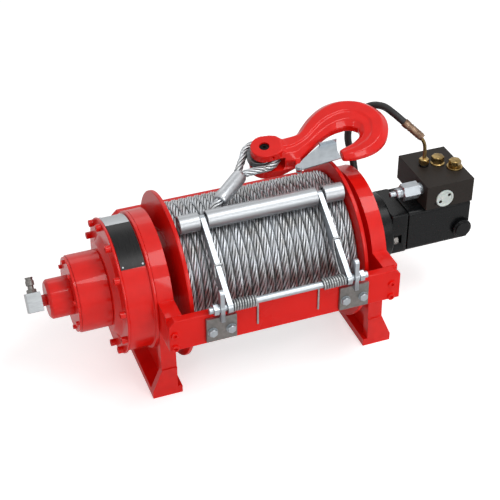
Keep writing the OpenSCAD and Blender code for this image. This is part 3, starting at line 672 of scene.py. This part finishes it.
low, high = in_mm("valve_block")
block_corner = Vector((low.x, low.y, high.z))
hose_foot = block_corner + Vector((38.7, 98.4, 0))
lathed("elbow_nut", [(9, 3.4), (11, 4.6), (22, 5.6, "hex"), (22, 18.4, "hex"), (10, 19.6), (8, 20.6)],
       stood_at(hose_foot), yellow_zinc, node="port_fittings")
lathed("elbow_stud_end", [(12.6, 0), (12.6, 3.2), (11.6, 4.4), (8, 4.6)], stood_at(hose_foot),
       blued_steel)
lathed("port_plug_flanged", [
    (17.5, 0), (17.5, 2.8), (16, 4), (28, 4.4, "hex"), (28, 19.4, "hex"), (12.4, 20.8), (5, 20.8)],
    stood_at(block_corner + Vector((75, 95, 0))), yellow_zinc)
lathed("port_plug_on_washer", [
    (20, 0), (20, 3), (19.2, 4), (13.5, 4.2), (27, 5.2, "hex"), (27, 19.8, "hex"), (12, 21.2), (5, 21.2)],
    stood_at(block_corner + Vector((106, 63.5, 0))), yellow_zinc)

# Brake hose. Rubber hose with a smooth cover, which rises from the crimped
# sleeve and comes down behind the hook to the brake's port.

# Black synthetic rubber: matt, slightly dusty
hose_rubber = surface("black_hose_rubber", ("#0E0E0F", "#19191A"), (0.5, 0.62), 14,
                      bump=0.06, bump_period=3)


def through(points, steps):
    """A smooth path in mm through every point."""
    ends = [points[0]] + list(points) + [points[-1]]
    path = []
    for four in zip(ends, ends[1:], ends[2:], ends[3:]):
        for i in range(steps):
            t = i / steps
            path.append([0.5 * (2 * b + (c - a) * t + (2 * a - 5 * b + 4 * c - d) * t * t
                                + (3 * b - a - 3 * c + d) * t ** 3) for a, b, c, d in zip(*four)])
    return path + [list(points[-1])]


def aimed(start, end):
    """A place in mm at the start with its Z axis towards the end."""
    return stood_at(start) @ (Vector(end) - Vector(start)).to_track_quat("Z", "Y").to_matrix().to_4x4()


sleeve_low = block_corner + Vector((23, 96, 86.5))
sleeve_high = block_corner + Vector((-10, 126, 117.5))
sleeve_way = (sleeve_high - sleeve_low).normalized()
low, high = in_mm("brake_housing")
port_way = Vector((0, math.sqrt(0.5), math.sqrt(0.5)))
port_foot = Vector(((low.x + high.x) / 2, 0, axis_z)) + (high.z - low.z) / 2 * port_way
stem_length = 34
port_tip = port_foot + stem_length * port_way
top = block_corner.z
hose_path = [sleeve_high + 0.5 * sleeve_way] + through([
    sleeve_high + 8 * sleeve_way, (404, 86, top + 133), (392, 118, top + 137), (374, 150, top + 126),
    (348, 166, top + 103), (324, 160, top + 76), (312, 142, top + 46), (port_foot.x, 112, top + 8),
    port_tip + 9 * port_way], 10) + [port_tip + 0.3 * port_way]
swept("brake_hose_cover", hose_path, hose_rubber, 9, node="brake_hose", sides=28)

# Hose fittings. A bent steel tube from the block's port to the sleeve that is
# crimped on the hose, and a straight stem in the brake's port, all yellow zinc.

# Yellow zinc worn to bronze by crimping and handling
worn_zinc = surface("worn_bronze_coloured_zinc", ("#6A5446", "#A08873"), (0.32, 0.46), 12, detail=4,
                    tone=(0.34, 0.66), Metallic=1.0)
swept("hose_elbow_tube", through([
    hose_foot + Vector((0, 0, 18.2)), hose_foot + Vector((-0.5, 0, 44)), hose_foot + Vector((-5, -1, 66)),
    sleeve_low + 4 * sleeve_way], 10), yellow_zinc, 4.5, node="hose_fittings", sides=24)
crimps = [(5, -5), (9, -4.6), (9, 0), (10.4, 0.6)]
for at in range(0, 40, 8):
    crimps += [(10.4, 3 + at), (9.7, 4 + at), (9.7, 7 + at), (10.4, 8 + at)]
crimps += [(11, 45), (11, 54), (9.6, 55)]
lathed("hose_crimped_sleeve", crimps, aimed(sleeve_low, sleeve_high), worn_zinc, sides=40)
lathed("brake_port_stem", [
    (12, 0), (12, 3), (9, 4), (20, 5, "hex"), (20, 17, "hex"), (8, 18), (9.4, 20), (9.4, 32),
    (8, stem_length)],
    aimed(port_foot, port_tip), yellow_zinc)

# Roller brackets. Bent and welded zinc plated plates bolted to the front bar,
# each with an ear that carries the pivot shaft.
brackets = softened("roller_brackets", 1, zinc_rolled)
bar_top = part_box("front_tie_bar")[1].z / MM
plate_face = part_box("bracket_bolts")[1].y / MM
ear_x, ear_end, ear_cut = 162, 16, (12, 20, 60)
# each ear ends a little below the bar's top, and its upper part takes the brighter zinc as a painted
# highlight
carved(brackets, boxes("ear_cutter", [
    (side * ear_x, plate_face - ear_cut[1] / 2 - 0.05, bar_top - ear_end - ear_cut[2] / 2)
    for side in (-1, 1)], ear_cut))
crisp(brackets)
# painted highlight: the ears' upper faces take the paler zinc, where the lamps catch them
brackets.data.materials.append(zinc_plate)
for face in brackets.data.polygons:
    off_ear = abs(abs(face.center.x) - ear_x * MM)
    if off_ear < 5.5 * MM and face.center.z > (bar_top - ear_end - 1) * MM:
        face.material_index = 1


def axis_of(node):
    """Where a shaft along X lies, as its Y and Z in mm."""
    low, high = in_mm(node)
    return Vector(((low.y + high.y) / 2, (low.z + high.z) / 2))


shaft = axis_of("pivot_shaft")
half_shaft = [(7, 192), (8, 191), (8, 183), (9, 182.6), (24, 181.6, "hex"), (24, 171, "hex"),
              (10, 170), (10, 167.2), (8, 167)]
lathed("pivot_shaft_turned", [(ring[0], -ring[1], *ring[2:]) for ring in half_shaft] + half_shaft[::-1],
       aimed((0, *shaft), (1, *shaft)), zinc_plate, node="pivot_shaft")
low, high = in_mm("bracket_bolts")
hex_rings = [(11.8, 0), (11.8, 1.6), (9.6, 1.8), (19, 1.9, "hex"), (19, 7.4, "hex"), (8.6, 9), (4, 9)]
bolt_spread = 22
fastened("bracket_bolt_heads", hex_rings, [
    ((side * x, high.y, (low.z + high.z) / 2), (90, 0, 0))
    for side in (-1, 1) for x in (ear_x - bolt_spread, ear_x + bolt_spread)],
    zinc_plate, "bracket_bolts")

# Roller arms and springs. Flat zinc plated arms on the pivot shaft, pressed
# towards the rope by a torsion spring each.
softened("roller_arms", 1.2, zinc_plate, "roller_arms")

# Oil tempered spring wire: plain grey steel with a soft shine
spring_wire = surface("oil_tempered_spring_wire", ("#8C8E8F", "#B9BBBC"), (0.26, 0.38), 9, bump=0.02,
                      Metallic=1.0)
arm_low, arm_high = in_mm("roller_arms")
roller = axis_of("roller_axle")
arm_thickness = 12
wire = 2.5
coil_mean = 14 - wire
coil_count, coil_steps = 9, 24
rise = (roller - shaft).normalized()
front = Vector((-rise.y, rise.x))
coil_end = arm_high.x - arm_thickness - wire - 0.3
coil_start = 77 + wire
hook_over = 2 * (arm_high.x - arm_thickness / 2 - coil_end)
edge_at = 15 + wire + 0.2
first = math.atan2(rise.y, rise.x) - math.pi / 2
spring_path = []
for k in range(coil_count * coil_steps + 1):
    turn = first + 2 * math.pi * k / coil_steps
    spring_path.append((coil_start + (coil_end - coil_start) * k / (coil_count * coil_steps),
                        shaft.x + coil_mean * math.cos(turn), shaft.y + coil_mean * math.sin(turn)))
leg_path = through([
    (coil_end + a, shaft.x + front.x * b + rise.x * c, shaft.y + front.y * b + rise.y * c) for a, b, c in (
        (0, -coil_mean, 14), (0, -coil_mean, 40), (0, 0, 74), (0, 8, 86), (0, edge_at - 4, 93),
        (2, edge_at - 0.5, 95), (hook_over / 2, edge_at, 96), (hook_over - 2, edge_at - 0.5, 95),
        (hook_over, edge_at - 4, 93), (hook_over, 8, 84), (hook_over, 2, 72))], 6)
for side, name, node in ((1, "right", "torsion_springs"), (-1, "left", None)):
    swept(name + "_torsion_spring", [(side * x, y, z) for x, y, z in spring_path + leg_path],
          spring_wire, wire, "roller_arms", node)
low, high = in_mm("spring_legs")
for side, name, node in ((1, "right", "spring_legs"), (-1, "left", None)):
    swept(name + "_spring_leg", [
        (side * (high.x - wire), low.y + wire, z) for z in (high.z - 0.1, (low.z + high.z) / 2, low.z + 0.1)],
        spring_wire, wire, node=node, sides=16)

# Pressing roller. Turned steel tubes on one axle, left bare and satin.

# Ground steel tube: satin, with fine rings round its axis
ground_steel = surface("ground_steel_tube", ("#A6A9AC", "#AFB2B5"), (0.4, 0.44), 0.9,
                       stretch=(1, 0.05, 0.05), bump=0.001, Metallic=1.0)
low, high = in_mm("roller_axle")
tube_gap = 3


def tube_rings(length):
    """A tube's outline with its bearing set a little way in at each end."""
    half = [(8.2, 5), (17.2, 5), (17.6, 0.6), (18.2, 0), (20.6, 0), (21.5, 0.9)]
    return half + [(r, length - h) for r, h in reversed(half)]


inside = tube_gap + arm_thickness
for name, start, end, node in (
        ("left", low.x, arm_low.x - tube_gap, None),
        ("middle", arm_low.x + inside, arm_high.x - inside, "roller_tubes"),
        ("right", arm_high.x + tube_gap, high.x, None)):
    lathed(name + "_roller_tube", tube_rings(end - start), aimed((start, *roller), (end, *roller)),
           ground_steel, "roller", node, sides=96)
lathed("roller_axle_turned", [(7.2, 0), (8, 0.8), (8, high.x - low.x - 0.8), (7.2, high.x - low.x)],
       aimed((low.x, *roller), (high.x, *roller)), ground_steel, "roller", "roller_axle",
       sides=32)

# Rope end. The free end runs off the winding into a pressed ferrule and
# round a thimble in the hook's fork.

# Pressed aluminium ferrule: satin grey with drawn lines along it
pressed_ferrule = surface("pressed_aluminium_ferrule", ("#ABAEB2", "#C0C3C6"), (0.3, 0.38), 7, detail=4,
                          bump=0.02, Metallic=1.0)
ferrule_low = Vector((-86, -21, axis_z + 186))
ferrule_high = Vector((-12, 40, axis_z + 203))
pull = (ferrule_high - ferrule_low).normalized()
ferrule_length = (ferrule_high - ferrule_low).length
lathed("rope_ferrule_pressed", [
    (9.6, 0), (14, 0.4), (16.4, 3), (17.6, 8), (18, 16), (18, ferrule_length - 9),
    (17.3, ferrule_length - 3), (15.8, ferrule_length)],
    aimed(ferrule_low, ferrule_high), pressed_ferrule, node="rope_ferrule", sides=64)
tail_path = through([
    (x, y, axis_z + math.sqrt(reach ** 2 - y ** 2)) for x, y, reach in (
        (-107, -32.4, 169.3), (-106.7, -33.2, 173.6), (-104, -32, 178.8), (-98, -27.6, 182.7))
] + [ferrule_low - 4 * pull, ferrule_low - 0.3 * pull], 6)
swept("rope_tail_strands", tail_path, rope_wire, 3.15, node="rope_tail", strands=6,
      lay_radius=6.2, sides=10)
# the tail's core is painted near black as the shade between its strands
swept("rope_tail_core", tail_path, valley_shade_core, 5.6)

# Galvanised thimble: darker, dull grey zinc
dull_zinc = surface("dull_galvanised_thimble", ("#5E6061", "#85878A"), (0.35, 0.5), 8, detail=4, bump=0.06,
                    Metallic=0.9)
eye_centre = Vector((-8.5, 4))
hook_place = stood_at((59.2, 66.6, axis_z + 225.1)) @ Euler(
    [math.radians(a) for a in (15.9, -6.63, -1.89)], "XYZ").to_matrix().to_4x4()


def on_hook(u, v, h):
    """A point in mm from the hook's own plane."""
    return list(hook_place @ (Vector((u, v, h)) * MM) / MM)


shape = bmesh.new()
turned(shape, [(22.6, -9), (31.5, -9), (32.5, -8), (30.8, -4), (30.8, 4), (32.5, 8), (31.5, 9), (22.6, 9)],
       hook_place @ stood_at((*eye_centre, 0)), 64)
bmesh.ops.delete(shape, geom=[face for face in shape.faces if len(face.verts) > 4], context="FACES_ONLY")
bmesh.ops.bridge_loops(shape, edges=[edge for edge in shape.edges if edge.is_boundary])
bmesh.ops.recalc_face_normals(shape, faces=shape.faces)
fitted(crisp(plain_mesh("thimble_pressed", shape)), dull_zinc, node="thimble")
eye_radius = 40.5
tail_neck = Vector((-72, -31))
neck = tail_neck - eye_centre
heading = math.atan2(neck.y, neck.x)
opening = math.acos(eye_radius / neck.length) - math.radians(6)
into = Vector((0.757, 0.653))
off = 9.7 * Vector((-into.y, into.x))
foot = tail_neck + 2.6 * into
bend = tail_neck + 9 * into
eye_route = [(*(foot + off), -4), (*(bend + 1.05 * off), -2)]
for k in range(49):
    turn = heading - opening - (2 * math.pi - 2 * opening) * k / 48
    eye_route.append((*(eye_centre + eye_radius * Vector((math.cos(turn), math.sin(turn)))), 0))
eye_route += [(*(bend - 1.05 * off), -2), (*(foot - off), -4)]
eye_path = [on_hook(*point) for point in through(eye_route, 4)]
swept("rope_eye_strands", eye_path, rope_wire, 3.2, node="rope_eye", strands=6,
      lay_radius=6.3, sides=10)
# the eye's core is painted near black as the shade between its strands
swept("rope_eye_core", eye_path, valley_shade_core, 5.7)

# Hook. A drop forged clevis hook, painted red, with a steel load pin and a
# sprung latch across its mouth.

# each station is the centre of a section, with its half width and half depth
stations = [(24, -5, 28, 33), (44, -9, 31, 33), (58, -8, 37, 29), (75, -4, 34, 26), (92, 1.5, 29, 24),
            (108, 9, 27, 23), (132, 26, 31, 24), (161, 43, 36, 26), (193, 53, 41, 27), (225, 53, 42, 27.5),
            (256, 37, 42, 27), (275, 4, 39, 25), (267, -31, 34, 22), (248, -51, 30, 19), (226, -60, 26, 17),
            (204, -64, 22, 15), (186, -64, 18.5, 14), (174, -64, 15, 12), (170.5, -64, 13, 10)]
# a forged section's corners, as shares of its half width and half depth
corners = [(1, -0.3), (1, 0.3), (0.55, 1), (-0.1, 1), (-0.22, 0.84), (-0.66, 0.8),
           (-1, 0.3), (-1, -0.3), (-0.66, -0.8), (-0.22, -0.84), (-0.1, -1), (0.55, -1)]
dense = through(stations, 5)
hook_sides = 48
hook_shape = bmesh.new()
loops = []
for i, (u, v, wide, deep) in enumerate(dense):
    back, ahead = dense[max(i - 1, 0)], dense[min(i + 1, len(dense) - 1)]
    way = Vector((ahead[0] - back[0], ahead[1] - back[1])).normalized()
    loop = []
    for k in range(hook_sides):
        side, share = divmod(k * len(corners) / hook_sides, 1)
        here, then = corners[int(side)], corners[(int(side) + 1) % len(corners)]
        a = wide * (here[0] + (then[0] - here[0]) * share)
        h = deep * (here[1] + (then[1] - here[1]) * share)
        loop.append(hook_shape.verts.new(Vector((u - way.y * a, v + way.x * a, h)) * MM))
    loops.append(loop)
for a, b in zip(loops, loops[1:]):
    for k in range(hook_sides):
        hook_shape.faces.new((a[k], a[(k + 1) % hook_sides], b[(k + 1) % hook_sides], b[k]))
hook_shape.faces.new(loops[0][::-1])
hook_shape.faces.new(loops[-1])


def prism(shape, outline, low, high, upper=None):
    """Adds a plate between two heights with this outline in mm, and another on top if one is given."""
    rings = [[shape.verts.new(Vector((u, v, h)) * MM) for u, v in edge]
             for edge, h in ((outline, low), (upper or outline, high))]
    for k in range(len(outline)):
        n = (k + 1) % len(outline)
        shape.faces.new((rings[0][k], rings[0][n], rings[1][n], rings[1][k]))
    shape.faces.new(rings[0][::-1])
    shape.faces.new(rings[1])


def arc(u, v, radius, start, end, steps=24):
    """Points in mm along an arc, its angles in degrees."""
    turns = [math.radians(start + (end - start) * k / steps) for k in range(steps + 1)]
    return [(u + radius * math.cos(turn), v + radius * math.sin(turn)) for turn in turns]


ear_half = 36
prism(hook_shape, arc(0, 0, 34, 85, 275) + [(28, -34), (58, -36), (66, 8), (50, 22), (24, 30)], 13, ear_half,
      arc(0, 0, 33, 85, 275) + [(24, -33), (36, -26), (42, 12), (35, 23), (22, 29)])
prism(hook_shape, arc(0, 0, 36, 85, 275) + [(24, -39), (42, -36), (50, 0), (37, 22), (20, 30)], -41, -13,
      arc(0, 0, 38, 85, 275) + [(28, -44), (66, -50), (66, 10), (40, 26), (22, 32)])
latch_at = Vector((60, -71.5))
prism(hook_shape, arc(*latch_at, 7, 164, 344) + [(80, -26), (67, -22)], 2, 10)
bmesh.ops.recalc_face_normals(hook_shape, faces=hook_shape.faces)
hook = plain_mesh("hook_drop_forging", hook_shape)
melt = hook.modifiers.new("melt", "REMESH")
melt.mode = "VOXEL"
melt.voxel_size = 1.7 * MM
melt.use_smooth_shade = True
ease = hook.modifiers.new("ease", "SMOOTH")
ease.factor = 0.5
ease.iterations = 8
settled(hook)
cutters = []
for name, rings, place, sides in (
        ("throat", [(54, -16), (54, 16)], stood_at((0, 0, 0)), 96),
        ("pin_bore", [(12.3, -46), (12.3, ear_half + 4)], stood_at((0, 0, 0)), 48),
        ("latch_bore", [(4, -1), (4, 13)], stood_at((*latch_at, 0)), 48),
        ("retaining_hole", [(3, -8), (3, 20)], stood_at((10, -40, 26), -90), 24)):
    shape = bmesh.new()
    turned(shape, rings, place, sides)
    cutters.append(plain_mesh(name, shape))
carved(hook, *cutters)
hook.data.transform(hook_place)
hook.data.materials.clear()
fitted(crisp(hook, 38), red_enamel, "hook", "hook_forging")
lathed("hook_load_pin", [(10.6, -35), (12, -34), (12, 31), (11, 32), (4, 32), (3, 29)], hook_place,
       blued_steel, "hook", "hook_pin")
softened("hook_latch", 0.6, zinc_plate, "latch")
softened("latch_pin", 0.5, zinc_plate, "hook")

# Studio. A pale floor that glows a little towards the camera, a white surround
# and four soft lamps, the strongest of them overhead on the right.
floor_finish, tree, shader = finish_named("pale_studio_floor")
cloud = speckle(tree, 600)
tree.links.new(toned(tree, cloud, 0.2, 0.8, "#F1F1F1", "#F6F6F6"), shader.inputs["Base Color"])
shader.inputs["Roughness"].default_value = 0.9
seen = put(tree, "ShaderNodeLightPath").outputs
camera_glow, mirror_glow = 0.54, 0.12
mirrored = maths(tree, "ADD", seen["Is Glossy Ray"], seen["Is Transmission Ray"], use_clamp=True)
direct = maths(tree, "MULTIPLY", seen["Is Camera Ray"], camera_glow)
shader.inputs["Emission Color"].default_value = (1, 1, 1, 1)
tree.links.new(maths(tree, "MULTIPLY_ADD", mirrored, mirror_glow, direct), shader.inputs["Emission Strength"])
ground = bmesh.new()
bmesh.ops.create_grid(ground, x_segments=2, y_segments=2, size=8)
ground = plain_mesh("studio_floor", ground)
ground.data.materials.append(floor_finish)

world = bpy.data.worlds.new("studio")
world.use_nodes = True
bpy.context.scene.world = world
tree = world.node_tree
tree.nodes.clear()
seen = put(tree, "ShaderNodeLightPath").outputs
direct = maths(tree, "ADD", seen["Is Camera Ray"], seen["Is Glossy Ray"])
everywhere = maths(tree, "ADD", direct, seen["Is Transmission Ray"], use_clamp=True)
strength = put(tree, "ShaderNodeMapRange", {"Value": everywhere, "To Min": 0.36, "To Max": 0.9})
sky = put(tree, "ShaderNodeBackground", {"Color": (1, 1, 1, 1), "Strength": strength.outputs["Result"]})
put(tree, "ShaderNodeOutputWorld", {"Surface": sky.outputs["Background"]})


def softbox(name, place, aim, size, power):
    """A square lamp that faces a point."""
    data = bpy.data.lights.new(name, "AREA")
    data.shape = "RECTANGLE"
    data.size, data.size_y = size
    data.energy = power
    lamp = bpy.data.objects.new(name, data)
    lamp.location = place
    lamp.rotation_euler = (Vector(aim) - Vector(place)).to_track_quat("-Z", "Y").to_euler()
    bpy.context.scene.collection.objects.link(lamp)


softbox("key_softbox", (0.8, -0.9, 2.7), (0, 0, 0.25), (1.9, 1.05), 31)
softbox("left_softbox", (-2.0, -2.2, 1.5), (0, 0, 0.25), (0.28, 1.6), 5.5)
softbox("front_softbox", (0.8, -2.7, 1.3), (0, 0, 0.25), (0.9, 1.2), 17)
softbox("rear_softbox", (0.4, 2.4, 2.2), (0, 0, 0.3), (2.2, 1.0), 6)

# Camera. A long lens high at the front left, as the photograph was taken,
# solved from the winch's own corners.
camera_at = (-0.8654, -2.3102, 2.0388)
focal_length = 90.89
yaw, pitch, roll = (math.radians(a) for a in (20.470, 36.004, -0.2385))
forward = Vector((math.sin(yaw) * math.cos(pitch), math.cos(yaw) * math.cos(pitch), -math.sin(pitch)))
right = Vector((math.cos(yaw), -math.sin(yaw), 0))
up = right.cross(forward)
level_right = math.cos(roll) * right + math.sin(roll) * up
level_up = -math.sin(roll) * right + math.cos(roll) * up
lens = bpy.data.cameras.new("long_lens")
lens.sensor_width = 36
lens.lens = focal_length
lens.clip_end = 30
camera = bpy.data.objects.new("camera", lens)
camera.matrix_world = Matrix((
    *((level_right[i], level_up[i], -forward[i], camera_at[i]) for i in range(3)), (0, 0, 0, 1)))
bpy.context.scene.collection.objects.link(camera)
bpy.context.scene.camera = camera
bpy.context.scene.view_settings.view_transform = "Standard"
